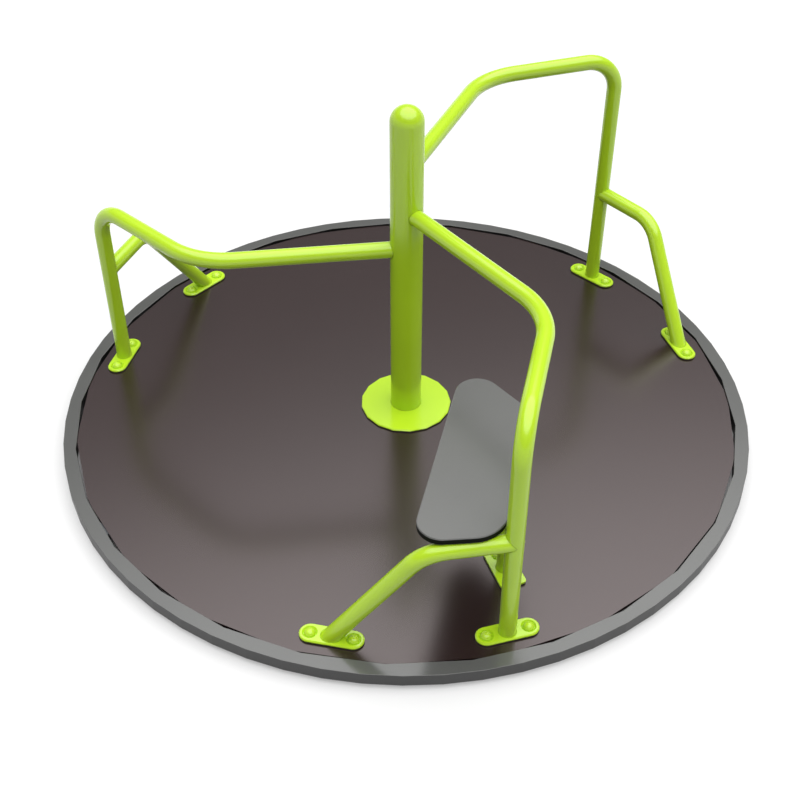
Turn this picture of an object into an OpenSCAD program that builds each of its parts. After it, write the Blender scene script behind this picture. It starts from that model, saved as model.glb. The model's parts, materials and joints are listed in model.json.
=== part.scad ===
// Playground spinner: a round deck with three bent hand rails and one seat,
// turning on a fixed spindle about the vertical axis. Sizes are in millimetres.
// The ground is at z = 0, the axis is at the origin and the seat arm points to -Y.

/* [Platform] */
// Outer diameter of the steel rim
rim_d = 1700; // [1500:10:1900]
// Width of the rim, seen from above, at the middle of an inner side
rim_w = 34.5; // [30:0.5:44]
// Height of the rim
rim_h = 32; // [30:1:44]
// Wall of the hollow rim
rim_wall = 4; // [3:0.5:6]
// Number of straight sides on the inner edge of the rim
rim_sides = 29; // [24:1:48]
// Number of straight sides on the outer edge of the rim
rim_outer_sides = 64; // [48:1:96]
// Number of straight sides of the deck sheet
deck_sides = 23; // [16:1:36]
// Thickness of the deck sheet
deck_t = 6; // [4:0.5:10]
// How far the deck lies below the top of the rim
deck_drop = 4.5; // [2:0.5:8]
// Gap between the ground and the rim
ground_gap = 15; // [12:1:25]

/* [Post] */
// Outer diameter of the centre post
post_d = 76.1; // [74:0.1:90]
// Height of the top of the post above the deck
post_h = 829; // [780:1:900]
// Diameter of the disc at the foot of the post
flange_d = 226; // [180:2:260]
// Thickness of the disc at the foot of the post
flange_t = 6.5; // [5:0.5:10]
// Number of straight sides of the disc
flange_sides = 17; // [12:1:32]

/* [Rails] */
// Outer diameter of the rail tube
tube_d = 38.1; // [33:0.1:42]
// Wall of the rail tube
tube_wall = 2.6; // [2:0.1:4]
// Height of the lowest rail above the deck
rail_low_h = 468; // [420:1:500]
// Step in height from one rail to the next
rail_step = 101; // [80:1:110]
// Height of the branches above the deck
branch_h = 278; // [240:1:300]
// Distance of all feet inwards from the outer edge of the rim
foot_inset = 85; // [75:1:115]
// Angle of the leg's foot behind the arm's own direction
leg_angle = 3.4; // [0:0.1:8]
// Angle of the branch's foot behind the arm's own direction
branch_angle = 31.2; // [26:0.1:36]
// Rail elbow, distance back towards the post from the leg
elbow_back = 307.6; // [285:0.1:330]
// Rail elbow, distance to the side of the arm
elbow_side = 145; // [120:1:170]
// Branch elbow, distance back towards the post from the leg
branch_back = 31.6; // [24:0.1:48]
// Branch elbow, distance to the side of the leg
branch_side = 177.6; // [155:0.1:195]
// Bend radius of the elbow in the level rail
elbow_bend = 185; // [120:5:210]
// Bend radius where a rail turns down into its leg
leg_bend = 85; // [70:1:110]
// Bend radius of the branches
branch_bend = 88; // [70:1:110]

/* [Feet] */
// Length of a foot plate
plate_l = 140; // [130:1:150]
// Width of a foot plate
plate_w = 48; // [44:1:54]
// Thickness of a foot plate
plate_t = 8; // [6:0.5:10]
// Distance between the two bolts of a foot
bolt_gap = 94; // [86:1:96]
// Diameter of the bolts
bolt_d = 10; // [8:1:12]
// Diameter of the domed bolt heads
head_d = 20; // [18:1:22]
// Diameter of the dish around each bolt head
dish_d = 33; // [28:1:38]

/* [Seat] */
// Thickness of the seat board
board_t = 16; // [12:1:22]
// Radius of the board's corners
board_r = 50; // [40:1:52]
// Radius of the board's corner beside the leg
board_leg_r = 77; // [60:1:80]
// Inner end of the board, distance back from the rail's elbow
seat_inner_back = 208; // [200:1:214]
// Inner end of the board, distance to the side of the rail's elbow
seat_inner_side = 95; // [92:0.5:100]
// Outer end of the board, distance back from the rail's leg
seat_outer_back = 36.6; // [33:0.1:42]
// Outer end of the board, distance to the side of the rail's leg
seat_outer_side = 206.6; // [200:0.1:212]
// Seat leg, distance back towards the post from the rail's leg
seat_leg_back = 165.6; // [145:0.1:185]
// Seat leg, distance to the side of the rail's leg
seat_leg_side = 63.4; // [45:0.1:75]
// Bend radius at the top of the seat leg
seat_bend = 57; // [50:1:70]
// Length of the seat leg's plate
seat_plate_l = 110; // [100:1:120]
// Width of the seat leg's plate
seat_plate_w = 60; // [54:1:66]
// Distance of a bolt from the end of that plate
seat_bolt_inset = 17; // [15:0.5:19]

/* [Bearing] */
// Diameter of the spindle at the bearings
spindle_d = 40; // [38:1:42]
// Outer diameter of the bearings and bore of the post
bearing_d = 68; // [66:0.5:68]
// Height of one bearing
bearing_h = 15; // [13:1:18]
// Height of the lower bearing's underside above the ground
lower_bearing_z = 60; // [56:1:80]
// Height of the upper bearing's underside above the ground
upper_bearing_z = 430; // [300:5:440]
// Number of balls in a bearing
ball_count = 12; // [9:1:12]
// Diameter of the ground plate
ground_d = 400; // [360:5:420]
// Thickness of the ground plate
ground_t = 8; // [8:0.5:10]
// Number of anchor holes
anchor_count = 6; // [4:1:8]
// Diameter of the circle of anchor holes
anchor_pcd = 330; // [300:5:340]
// Diameter of an anchor hole
anchor_d = 14; // [12:1:18]

/* [Hidden] */
$fn = 72;
core_fn = 144;
eps = 0.01;
fit = 0.02;
lap = 1;
proud = 0.15;
cope = 2;
turning_gap = 0.3;

rim_r = rim_d / 2;
rim_in = rim_r - rim_w;
rim_z = ground_gap;
rim_top = rim_z + rim_h;
deck_z = rim_top - deck_drop;
deck_low = deck_z - deck_t;
deck_r = rim_in / cos(180 / rim_sides) - 1.5;
rim_turn = 8.6;
rim_outer_turn = 2.5;
deck_turn = 13.7;
flange_turn = 17.6;
spoke_h = 15;
spoke_w = 40;
spoke_wall = 2.5;
spoke_turn = -17.3;

arm_dir = [-90, 30, 150];
middle = 0;
high = 1;
low = 2;
foot_r = rim_r - foot_inset;
rail_h = [rail_low_h + rail_step, rail_low_h + 2 * rail_step, rail_low_h];

tube_r = tube_d / 2;
post_r = post_d / 2;
post_bore = bearing_d / 2;
post_low = deck_low - 10;
post_top = deck_z + post_h;
cap_z = post_top - post_r;
cap_in = post_bore - 4;
spigot_h = 24;
flange_bevel = 2;

hub_plate_t = 6;
hub_bolt_d = 10;
hub_bolt_pcd = 170;
hub_bolt_count = 6;

plate_z = deck_z;
plate_top = deck_z + plate_t;
plate_bevel = 1.6;
dish_depth = 4;
head_h = 8;
bolt_end = 2.5;
washer_d = 22;
washer_t = 2;
nut_w = 17;
nut_h = 8;
bolt_low = deck_low - washer_t - nut_h - bolt_end;

branch_z = deck_z + branch_h;
board_gap = 2;
board_low = branch_z + tube_r + board_gap;

shoulder_d = 60;
race_t = 3.4;
ball_d = 7.8;
ball_r = ball_d / 2;
groove_r = 4.2;
pitch_r = (spindle_d + bearing_d) / 4;
spacer_wall = 3;
stop_ring_h = 8;
stop_ring_d = 60;
washer_top_d = 52;
nut_top_d = 56;
nut_top_h = 11;
spindle_top = upper_bearing_z + bearing_h + washer_t + nut_top_h + 4;
circlip_t = 2.4;
circlip_depth = 1.2;
circlip_w = 4;
circlip_gap = 10;

// Points and directions

function unit(v) = v / norm(v);
function polar(r, a) = [r * cos(a), r * sin(a)];
function ngon(n, r, turn) = [for (i = [0 : n - 1]) polar(r, turn + 360 * i / n)];
function at_z(p, z) = [p[0], p[1], z];

leg_foot = polar(foot_r, -leg_angle);
branch_foot = polar(foot_r, -branch_angle);
elbow = [leg_foot[0] - elbow_back, elbow_side];
branch_elbow = leg_foot - [branch_back, branch_side];
seat_leg_at = leg_foot + [-seat_leg_back, seat_leg_side];

function rail_path(h) = [
    at_z([0, 0], deck_z + h),
    at_z(elbow, deck_z + h),
    at_z(leg_foot, deck_z + h),
    at_z(leg_foot, plate_top)];

branch_path = [
    at_z(leg_foot, branch_z),
    at_z(branch_elbow, branch_z),
    at_z(branch_foot, plate_top)];

seat_leg_path = [
    at_z(leg_foot, branch_z),
    at_z(seat_leg_at, branch_z),
    at_z(seat_leg_at, plate_top)];

// Bent tube: straight lengths between the points, joined by round bends

function turn_at(p, i) = acos(unit(p[i] - p[i - 1]) * unit(p[i + 1] - p[i]));
function trim(p, bends, i) =
    i == 0 || i == len(p) - 1 ? 0 : bends[i - 1] * tan(turn_at(p, i) / 2);

module along(a, b) {
    d = b - a;
    translate(a)
        rotate([0, acos(d[2] / norm(d)), atan2(d[1], d[0])])
            children();
}

module bend_at(p, i, bend, r) {
    u = unit(p[i] - p[i - 1]);
    w = unit(p[i + 1] - p[i]);
    n = unit(w - (w * u) * u);
    o = p[i] - bend * tan(turn_at(p, i) / 2) * u + bend * n;
    z = cross(-n, u);
    multmatrix([
        [-n[0], u[0], z[0], o[0]],
        [-n[1], u[1], z[1], o[1]],
        [-n[2], u[2], z[2], o[2]],
        [0, 0, 0, 1]])
        rotate_extrude(angle = turn_at(p, i))
            translate([bend, 0])
                circle(r = r);
}

// The straight lengths reach a little way into the bends, which stand a hair proud of them
module rod(p, bends, r, start = 0, end = 0) {
    last = len(p) - 1;
    for (i = [1 : last]) {
        u = unit(p[i] - p[i - 1]);
        a = p[i - 1] + (i == 1 ? start : trim(p, bends, i - 1) - lap) * u;
        b = p[i] + (i == last ? end : lap - trim(p, bends, i)) * u;
        along(a, b)
            cylinder(h = norm(b - a), r = r);
    }
    for (i = [1 : last - 1])
        bend_at(p, i, bends[i - 1], r + proud);
}

module tube(p, bends, start = 0, end = 0) {
    difference() {
        rod(p, bends, tube_r, start, end);
        rod(p, bends, tube_r - tube_wall, start - 1, end + 1);
    }
}

module arm(i) {
    rotate([0, 0, arm_dir[i]])
        children();
}

// Places for the bolts of all foot plates

module at_foot(a) {
    rotate([0, 0, -a])
        translate([foot_r, 0, 0])
            rotate([0, 0, 90])
                children();
}

module at_seat_leg() {
    translate(at_z(seat_leg_at, 0))
        children();
}

seat_bolt_gap = seat_plate_l - 2 * seat_bolt_inset;

module at_bolts(gap) {
    for (s = [-1, 1])
        translate([s * gap / 2, 0, 0])
            children();
}

module at_all_bolts() {
    for (i = [0 : 2])
        arm(i)
            for (a = [leg_angle, branch_angle])
                at_foot(a)
                    at_bolts(bolt_gap)
                        children();
    arm(middle)
        at_seat_leg()
            at_bolts(seat_bolt_gap)
                children();
}

// Fixed parts

module ring(r_out, r_in, h) {
    difference() {
        cylinder(h = h, r = r_out);
        translate([0, 0, -1])
            cylinder(h = h + 2, r = r_in);
    }
}

module ground_plate() {
    color([0.55, 0.57, 0.58])
        difference() {
            cylinder(h = ground_t, d = ground_d);
            for (i = [0 : anchor_count - 1])
                rotate([0, 0, 360 * i / anchor_count])
                    translate([anchor_pcd / 2, 0, -1])
                        cylinder(h = ground_t + 2, d = anchor_d);
        }
}

module spindle() {
    color([0.62, 0.63, 0.64]) {
        translate([0, 0, ground_t])
            cylinder(h = lower_bearing_z - ground_t, d = shoulder_d);
        translate([0, 0, lower_bearing_z - eps])
            cylinder(h = spindle_top - 2 - lower_bearing_z + eps,
                d = spindle_d - 2 * fit);
        translate([0, 0, spindle_top - 2 - eps])
            cylinder(h = 2 + eps, d1 = spindle_d - 2 * fit, d2 = spindle_d - 4);
    }
}

module dust_seal() {
    color([0.08, 0.08, 0.08])
        translate([0, 0, post_low + 4])
            ring(post_bore - turning_gap, shoulder_d / 2, 6);
}

module inner_race(z) {
    translate([0, 0, z])
        rotate_extrude()
            difference() {
                translate([spindle_d / 2, 0])
                    square([race_t, bearing_h]);
                translate([pitch_r, bearing_h / 2])
                    circle(r = groove_r);
            }
}

module outer_race(z) {
    translate([0, 0, z])
        rotate_extrude()
            difference() {
                translate([post_bore - fit - race_t, 0])
                    square([race_t, bearing_h]);
                translate([pitch_r, bearing_h / 2])
                    circle(r = groove_r);
            }
}

module ball_set(z) {
    seat_r = pitch_r + groove_r - ball_r;
    color([0.75, 0.76, 0.78])
        translate([0, 0, z + bearing_h / 2]) {
            for (i = [0 : ball_count - 1])
                rotate([0, 0, 360 * i / ball_count])
                    translate([seat_r, 0, 0])
                        sphere(d = ball_d);
            translate([0, 0, -1])
                ring(seat_r + 0.8, seat_r - 0.8, 2);
        }
}

module lower_bearing_inner_race() {
    color([0.75, 0.76, 0.78])
        inner_race(lower_bearing_z);
}

module upper_bearing_inner_race() {
    color([0.75, 0.76, 0.78])
        inner_race(upper_bearing_z);
}

module inner_spacer() {
    color([0.5, 0.52, 0.54])
        translate([0, 0, lower_bearing_z + bearing_h])
            ring(spindle_d / 2 + spacer_wall, spindle_d / 2,
                upper_bearing_z - lower_bearing_z - bearing_h);
}

module spindle_washer() {
    color([0.66, 0.67, 0.68])
        translate([0, 0, upper_bearing_z + bearing_h])
            ring(washer_top_d / 2, spindle_d / 2, washer_t);
}

module spindle_nut() {
    color([0.45, 0.46, 0.47])
        translate([0, 0, upper_bearing_z + bearing_h + washer_t])
            difference() {
                ring(nut_top_d / 2, spindle_d / 2, nut_top_h);
                for (a = [0 : 90 : 270])
                    rotate([0, 0, a])
                        translate([nut_top_d / 2 - 2.5, -3, -1])
                            cube([5, 6, nut_top_h + 2]);
            }
}

// Turning parts inside the post

module lower_bearing_outer_race() {
    color([0.75, 0.76, 0.78])
        outer_race(lower_bearing_z);
}

module lower_bearing_balls() {
    ball_set(lower_bearing_z);
}

module outer_spacer() {
    color([0.5, 0.52, 0.54])
        translate([0, 0, lower_bearing_z + bearing_h])
            ring(post_bore - fit, post_bore - spacer_wall,
                upper_bearing_z - lower_bearing_z - bearing_h);
}

module upper_bearing_outer_race() {
    color([0.75, 0.76, 0.78])
        outer_race(upper_bearing_z);
}

module upper_bearing_balls() {
    ball_set(upper_bearing_z);
}

module bearing_stop_ring() {
    color([0.5, 0.52, 0.54])
        translate([0, 0, upper_bearing_z + bearing_h])
            ring(post_bore - fit, stop_ring_d / 2, stop_ring_h);
}

module post_circlip() {
    color([0.2, 0.2, 0.21])
        translate([0, 0, lower_bearing_z - circlip_t])
            difference() {
                ring(post_bore + circlip_depth - fit,
                    post_bore + circlip_depth - circlip_w, circlip_t);
                translate([0, -circlip_gap / 2, -1])
                    cube([post_r, circlip_gap, circlip_t + 2]);
            }
}

// Post

module post() {
    color([0.58, 0.83, 0.13])
        difference() {
            translate([0, 0, post_low])
                cylinder(h = cap_z - post_low, r = post_r);
            translate([0, 0, post_low - 1])
                cylinder(h = cap_z - post_low + 2, r = post_bore);
            translate([0, 0, lower_bearing_z - circlip_t])
                cylinder(h = circlip_t, r = post_bore + circlip_depth);
        }
}

module post_cap() {
    color([0.58, 0.83, 0.13])
        translate([0, 0, cap_z]) {
            rotate_extrude()
                difference() {
                    circle(r = post_r);
                    circle(r = cap_in);
                    translate([-post_d, -post_d])
                        square([post_d, 2 * post_d]);
                    translate([0, -post_d])
                        square([post_d, post_d]);
                }
            translate([0, 0, -spigot_h])
                ring(post_bore - fit, cap_in, spigot_h + eps);
        }
}

module post_flange() {
    flat_r = flange_d / 2;
    color([0.58, 0.83, 0.13])
        translate([0, 0, deck_z])
            difference() {
                union() {
                    linear_extrude(flange_t - flange_bevel)
                        polygon(ngon(flange_sides, flat_r, flange_turn));
                    hull() {
                        translate([0, 0, flange_t - flange_bevel])
                            linear_extrude(eps)
                                polygon(ngon(flange_sides, flat_r, flange_turn));
                        translate([0, 0, flange_t - eps])
                            linear_extrude(eps)
                                polygon(ngon(flange_sides, flat_r - flange_bevel, flange_turn));
                    }
                }
                translate([0, 0, -1])
                    cylinder(h = flange_t + 2, r = post_r + fit);
                at_hub_bolts()
                    translate([0, 0, -1])
                        cylinder(h = flange_t - flange_bevel, d = hub_bolt_d + 2 * fit);
            }
}

// Deck and the frame below it

module at_hub_bolts() {
    for (i = [0 : hub_bolt_count - 1])
        rotate([0, 0, 360 * i / hub_bolt_count])
            translate([hub_bolt_pcd / 2, 0, 0])
                children();
}

module hub_plate() {
    color([0.42, 0.43, 0.44])
        translate([0, 0, deck_low - hub_plate_t])
            difference() {
                cylinder(h = hub_plate_t, d = flange_d);
                translate([0, 0, -1])
                    cylinder(h = hub_plate_t + 2, r = post_r + fit);
                at_hub_bolts()
                    translate([0, 0, -1])
                        cylinder(h = hub_plate_t + 2, d = hub_bolt_d + 1);
            }
}

module hub_bolts() {
    thread_h = hub_plate_t + deck_t + flange_t - flange_bevel - 1;
    color([0.66, 0.67, 0.68])
        at_hub_bolts()
            translate([0, 0, deck_low - hub_plate_t]) {
                cylinder(h = thread_h, d = hub_bolt_d);
                translate([0, 0, -6.4])
                    cylinder(h = 6.4 + eps, d = nut_w / cos(30), $fn = 6);
            }
}

// The space inside the rim, which the deck and the spokes are cut to
module inside_rim(z, h) {
    translate([0, 0, z])
        linear_extrude(h)
            polygon(ngon(rim_sides, rim_in / cos(180 / rim_sides), rim_turn));
}

module deck() {
    color([0.19, 0.17, 0.17])
        difference() {
            intersection() {
                translate([0, 0, deck_low])
                    linear_extrude(deck_t)
                        polygon(ngon(deck_sides, deck_r, deck_turn));
                inside_rim(deck_low - 1, deck_t + 2);
            }
            translate([0, 0, deck_low - 1])
                cylinder(h = deck_t + 2, r = post_r + fit);
            at_hub_bolts()
                translate([0, 0, deck_low - 1])
                    cylinder(h = deck_t + 2, d = hub_bolt_d + 1);
            at_all_bolts()
                translate([0, 0, deck_low - 1])
                    cylinder(h = deck_t + 2, d = bolt_d + 1);
        }
}

module rim_ring() {
    core_in = rim_in / cos(180 / rim_sides) + rim_wall;
    core_out = rim_r * cos(180 / rim_outer_sides) - rim_wall;
    color([0.45, 0.47, 0.45])
        difference() {
            translate([0, 0, rim_z])
                linear_extrude(rim_h)
                    polygon(ngon(rim_outer_sides, rim_r, rim_outer_turn));
            inside_rim(rim_z - 1, rim_h + 2);
            translate([0, 0, rim_z + rim_wall])
                difference() {
                    cylinder(h = rim_h - 2 * rim_wall, r = core_out, $fn = core_fn);
                    translate([0, 0, -1])
                        cylinder(h = rim_h, r = core_in, $fn = core_fn);
                }
        }
}

module spoke(i) {
    color([0.36, 0.37, 0.38])
        difference() {
            intersection() {
                rotate([0, 0, arm_dir[0] + spoke_turn + 60 * i])
                    translate([0, -spoke_w / 2, deck_low - spoke_h])
                        difference() {
                            cube([rim_r, spoke_w, spoke_h]);
                            translate([-1, spoke_wall, spoke_wall])
                                cube([rim_r + 2, spoke_w - 2 * spoke_wall,
                                    spoke_h - 2 * spoke_wall]);
                        }
                inside_rim(deck_low - spoke_h - 1, spoke_h + 2);
            }
            translate([0, 0, deck_low - spoke_h - 1])
                cylinder(h = spoke_h + 2, d = flange_d);
        }
}

module spoke_1() {
    spoke(0);
}

module spoke_2() {
    spoke(1);
}

module spoke_3() {
    spoke(2);
}

module spoke_4() {
    spoke(3);
}

module spoke_5() {
    spoke(4);
}

module spoke_6() {
    spoke(5);
}

// Rails and branches

module rail(i) {
    color([0.58, 0.83, 0.13])
        arm(i)
            difference() {
                tube(rail_path(rail_h[i]), [elbow_bend, leg_bend]);
                translate([0, 0, deck_z])
                    cylinder(h = post_h, r = post_r);
            }
}

module branch(i) {
    color([0.58, 0.83, 0.13])
        arm(i)
            difference() {
                tube(branch_path, [branch_bend], cope, tube_d);
                translate(at_z(leg_foot, plate_top))
                    cylinder(h = branch_z, r = tube_r);
                cylinder(h = plate_top, r = rim_r);
            }
}

module rail_middle() {
    rail(middle);
}

module rail_high() {
    rail(high);
}

module rail_low() {
    rail(low);
}

module branch_middle() {
    branch(middle);
}

module branch_high() {
    branch(high);
}

module branch_low() {
    branch(low);
}

// Foot plates

module bevelled_obround(l, w, h, bevel) {
    r = w / 2;
    half = l / 2 - r;
    for (s = [-1, 1])
        translate([s * half, 0, 0]) {
            cylinder(h = h - bevel, r = r);
            translate([0, 0, h - bevel])
                cylinder(h = bevel, r1 = r, r2 = r - bevel);
        }
    translate([-half, 0, 0])
        rotate([90, 0, 90])
            linear_extrude(2 * half)
                polygon([[-r, 0], [r, 0], [r, h - bevel], [r - bevel, h],
                    [bevel - r, h], [-r, h - bevel]]);
}

module bolt_seat() {
    translate([0, 0, plate_t - dish_depth])
        cylinder(h = dish_depth + eps, d1 = head_d + 1, d2 = dish_d);
    translate([0, 0, -1])
        cylinder(h = plate_t + 2, d = bolt_d + 1);
}

module foot_plate(i, a) {
    color([0.58, 0.83, 0.13])
        arm(i)
            at_foot(a)
                translate([0, 0, plate_z])
                    difference() {
                        bevelled_obround(plate_l, plate_w, plate_t, plate_bevel);
                        at_bolts(bolt_gap)
                            bolt_seat();
                    }
}

module leg_plate_middle() {
    foot_plate(middle, leg_angle);
}

module leg_plate_high() {
    foot_plate(high, leg_angle);
}

module leg_plate_low() {
    foot_plate(low, leg_angle);
}

module branch_plate_middle() {
    foot_plate(middle, branch_angle);
}

module branch_plate_high() {
    foot_plate(high, branch_angle);
}

module branch_plate_low() {
    foot_plate(low, branch_angle);
}

module domed_head() {
    cap_h = head_h - 2;
    cap_r = (pow(head_d / 2, 2) + pow(cap_h, 2)) / (2 * cap_h);
    cylinder(h = 2, d = head_d);
    intersection() {
        translate([0, 0, head_h - cap_r])
            sphere(r = cap_r);
        translate([0, 0, 2 - eps])
            cylinder(h = head_h, d = head_d);
    }
}

module foot_bolts() {
    head_z = plate_top - dish_depth;
    color([0.58, 0.83, 0.13])
        at_all_bolts() {
            translate([0, 0, bolt_low])
                cylinder(h = head_z - bolt_low + eps, d = bolt_d);
            translate([0, 0, head_z])
                domed_head();
        }
}

module foot_washers() {
    color([0.66, 0.67, 0.68])
        at_all_bolts()
            translate([0, 0, deck_low - washer_t])
                ring(washer_d / 2, bolt_d / 2 + 0.3, washer_t);
}

module foot_nuts() {
    color([0.66, 0.67, 0.68])
        at_all_bolts()
            translate([0, 0, deck_low - washer_t - nut_h])
                difference() {
                    cylinder(h = nut_h, d = nut_w / cos(30), $fn = 6);
                    translate([0, 0, -1])
                        cylinder(h = nut_h + 2, d = bolt_d + 2 * fit);
                }
}

// Seat

elbow_inset = [1, -21];
leg_inset = [9.4, -28.6];
inner_end = elbow - [seat_inner_back, seat_inner_side];
inner_side = elbow + elbow_inset;
outer_side = leg_foot + leg_inset;
outer_end = leg_foot - [seat_outer_back, seat_outer_side];
board_corners = [inner_end, inner_side, outer_side, outer_end];
board_radii = [board_r, board_r, board_leg_r, board_r];

function next(p, i) = p[(i + 1) % len(p)];
function before(p, i) = p[(i + len(p) - 1) % len(p)];
function corner_half(p, i) =
    acos(unit(next(p, i) - p[i]) * unit(before(p, i) - p[i])) / 2;
function corner_centre(p, i, r) =
    p[i] + r / sin(corner_half(p, i))
        * unit(unit(next(p, i) - p[i]) + unit(before(p, i) - p[i]));

module rounded_outline(p, r) {
    hull()
        for (i = [0 : len(p) - 1])
            translate(corner_centre(p, i, r[i]))
                circle(r = r[i], $fn = 144);
}

module seat_board() {
    color([0.5, 0.51, 0.51])
        arm(middle)
            difference() {
                translate([0, 0, board_low])
                    linear_extrude(board_t)
                        rounded_outline(board_corners, board_radii);
                at_seat_screws()
                    translate([0, 0, board_low - eps])
                        cylinder(h = screw_in, d = screw_d);
            }
}

module seat_leg() {
    color([0.58, 0.83, 0.13])
        arm(middle)
            difference() {
                tube(seat_leg_path, [seat_bend], cope);
                translate(at_z(leg_foot, plate_top))
                    cylinder(h = branch_z, r = tube_r);
                rod(branch_path, [branch_bend], tube_r);
            }
}

module seat_leg_plate() {
    r = 8;
    l = seat_plate_l / 2;
    w = seat_plate_w / 2;
    color([0.58, 0.83, 0.13])
        arm(middle)
            at_seat_leg()
                translate([0, 0, plate_z])
                    difference() {
                        linear_extrude(plate_t) {
                            square([2 * l, 2 * (w - r)], center = true);
                            square([2 * (l - r), 2 * w], center = true);
                            for (x = [r - l, l - r])
                                for (y = [r - w, w - r])
                                    translate([x, y])
                                        circle(r = r);
                        }
                        at_bolts(seat_bolt_gap)
                            bolt_seat();
                    }
}

// Welded tabs reach inwards from the tubes below the board, screwed from below

tab_l = 78;
tab_w = 30;
tab_t = 5;
tab_back = 3;
tab_out = [60, 128, 95];
tab_turn = [-90, -90, 90];
screw_d = 5;
screw_in = 10;
tab_screws = [35, 62];
branch_dir = atan2(-branch_side, -branch_back);
seat_leg_dir = atan2(seat_leg_side, -seat_leg_back);

module at_tab(k) {
    translate(at_z(leg_foot, 0))
        rotate([0, 0, k == 2 ? seat_leg_dir : branch_dir])
            translate([tab_out[k], 0, 0])
                rotate([0, 0, tab_turn[k]])
                    children();
}

module at_seat_screws(tabs = [0 : 2]) {
    for (k = tabs)
        at_tab(k)
            for (x = tab_screws)
                translate([x, 0, 0])
                    children();
}

module seat_tab(k) {
    color([0.58, 0.83, 0.13])
        arm(middle)
            difference() {
                at_tab(k)
                    translate([-tab_back, -tab_w / 2, board_low - tab_t])
                        cube([tab_l, tab_w, tab_t]);
                rod(k == 2 ? seat_leg_path : branch_path,
                    [k == 2 ? seat_bend : branch_bend], tube_r);
                at_seat_screws([k])
                    translate([0, 0, board_low - tab_t - 1])
                        cylinder(h = tab_t + 2, d = screw_d + 0.6);
            }
}

module seat_tab_outer() {
    seat_tab(0);
}

module seat_tab_side() {
    seat_tab(1);
}

module seat_tab_inner() {
    seat_tab(2);
}

module seat_screws() {
    color([0.66, 0.67, 0.68])
        arm(middle)
            at_seat_screws()
                translate([0, 0, board_low - tab_t]) {
                    cylinder(h = tab_t + screw_in - 1, d = screw_d - 2 * fit);
                    translate([0, 0, -3])
                        cylinder(h = 3, d1 = 6, d2 = 9);
                }
}

ground_plate();
spindle();
dust_seal();
lower_bearing_inner_race();
inner_spacer();
upper_bearing_inner_race();
spindle_washer();
spindle_nut();
lower_bearing_outer_race();
lower_bearing_balls();
outer_spacer();
upper_bearing_outer_race();
upper_bearing_balls();
bearing_stop_ring();
post_circlip();
post();
post_cap();
post_flange();
hub_plate();
hub_bolts();
deck();
rim_ring();
spoke_1();
spoke_2();
spoke_3();
spoke_4();
spoke_5();
spoke_6();
rail_middle();
rail_high();
rail_low();
branch_middle();
branch_high();
branch_low();
leg_plate_middle();
leg_plate_high();
leg_plate_low();
branch_plate_middle();
branch_plate_high();
branch_plate_low();
foot_bolts();
foot_washers();
foot_nuts();
seat_board();
seat_leg();
seat_leg_plate();
seat_tab_outer();
seat_tab_side();
seat_tab_inner();
seat_screws();
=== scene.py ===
"""Playground spinner: finished pieces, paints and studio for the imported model.

Lengths are in metres. The deck turns about the Z axis at the origin, the ground
is at z = 0 and the arm that carries the seat points to -Y.
"""

import json
import math

import bmesh
import bpy
from bpy.props import FloatProperty, FloatVectorProperty, IntProperty, PointerProperty
from mathutils import Matrix, Vector


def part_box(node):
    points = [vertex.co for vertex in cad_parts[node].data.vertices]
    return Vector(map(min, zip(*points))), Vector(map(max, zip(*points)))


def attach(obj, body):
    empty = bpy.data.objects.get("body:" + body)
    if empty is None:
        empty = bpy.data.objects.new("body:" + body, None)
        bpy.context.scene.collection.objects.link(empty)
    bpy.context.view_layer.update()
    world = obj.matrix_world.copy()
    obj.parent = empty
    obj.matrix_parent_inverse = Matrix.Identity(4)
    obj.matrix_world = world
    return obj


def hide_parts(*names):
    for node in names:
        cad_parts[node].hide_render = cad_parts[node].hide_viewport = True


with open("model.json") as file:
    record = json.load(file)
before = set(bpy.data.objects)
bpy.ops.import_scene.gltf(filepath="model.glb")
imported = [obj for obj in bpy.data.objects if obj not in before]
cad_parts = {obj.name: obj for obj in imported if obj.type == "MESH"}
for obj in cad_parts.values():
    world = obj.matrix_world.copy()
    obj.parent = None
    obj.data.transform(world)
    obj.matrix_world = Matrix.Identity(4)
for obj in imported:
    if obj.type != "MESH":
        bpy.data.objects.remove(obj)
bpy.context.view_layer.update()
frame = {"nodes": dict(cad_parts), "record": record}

bl_info = {
    "name": "Playground spinner",
    "version": (1, 0, 0),
    "blender": (4, 5, 0),
    "location": "View3D > Sidebar > Spinner",
    "description": "Builds the finish of a round playground spinner over its frame",
    "category": "Object",
}

PLATFORM = "platform"
ARMS = {"middle": -90.0, "high": 30.0, "low": 150.0}
MATERIALS = {}


def top_of(node):
    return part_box(node)[1][2]


def bottom_of(node):
    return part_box(node)[0][2]


DECK_TOP = top_of("deck")
RIM_TOP = top_of("rim_ring")
POST_RADIUS = (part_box("post")[1][0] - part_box("post")[0][0]) / 2
POST_TOP = top_of("post_cap")
PLATE_TOP = top_of("leg_plate_middle")
BOARD_LOW = bottom_of("seat_board")
BOARD_TOP = top_of("seat_board")
FLANGE_TOP = top_of("post_flange")
PLATE_THICK = PLATE_TOP - DECK_TOP

# Fits between pieces

MERGE = 1e-6              # points nearer than this are one
HIDDEN = 0.001            # a tube's end reaches this far into its plate
POST_OVERLAP = 0.006      # a rail's end reaches this far into the post's skin
BORE_OVERLAP = 0.0005     # and the edge of the flange's hole this far
SEAT_BOLT_INSET = 0.034   # the seat leg's plate is this much longer than its bolt gap
ROUND_WELD = 0.6          # beads between two tubes, as a share of the others

# Bolts, beads and small edges

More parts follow.
